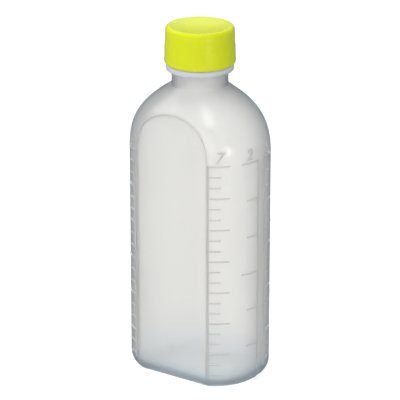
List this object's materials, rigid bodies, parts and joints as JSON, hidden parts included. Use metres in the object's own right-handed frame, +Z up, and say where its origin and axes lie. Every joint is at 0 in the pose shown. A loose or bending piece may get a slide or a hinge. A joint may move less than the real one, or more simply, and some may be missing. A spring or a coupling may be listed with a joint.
{
  "type": "graduated dispensing bottle",
  "caption": "Oval translucent bottle with flat arched panels, moulded dose scales on the curved walls, a round neck with transfer bead, and a lined screw cap.",
  "frame": {"origin": "centre of the base on the surface the bottle stands on", "axes": "+Z up along the neck, -Y out of the front panel, +X to the right seen from the front"},
  "size_m": [0.0612, 0.043, 0.1512],
  "materials": {
    "natural_pp": "translucent satin",
    "liner_foam": "matte",
    "cap_plastic": "satin gloss"
  },
  "bodies": {
    "bottle": {"bottle": "natural_pp"},
    "liner": {"cap_liner": "liner_foam"},
    "cap": {"screw_cap": "cap_plastic"}
  },
  "joints": [
    {"name": "cap_lift", "type": "slide", "parent": "bottle", "child": "liner", "axis": [0, 0, 1], "range_m": [0, 0.036]},
    {"name": "cap_turn", "type": "hinge", "parent": "liner", "child": "cap", "pos_m": [0, 0, 0.14], "axis": [0, 0, 1], "range_deg": [0, 3240]}
  ],
  "couplings": [
    {"joint": "cap_lift", "follows": "cap_turn", "m_per_rad": 0.00063662}
  ]
}
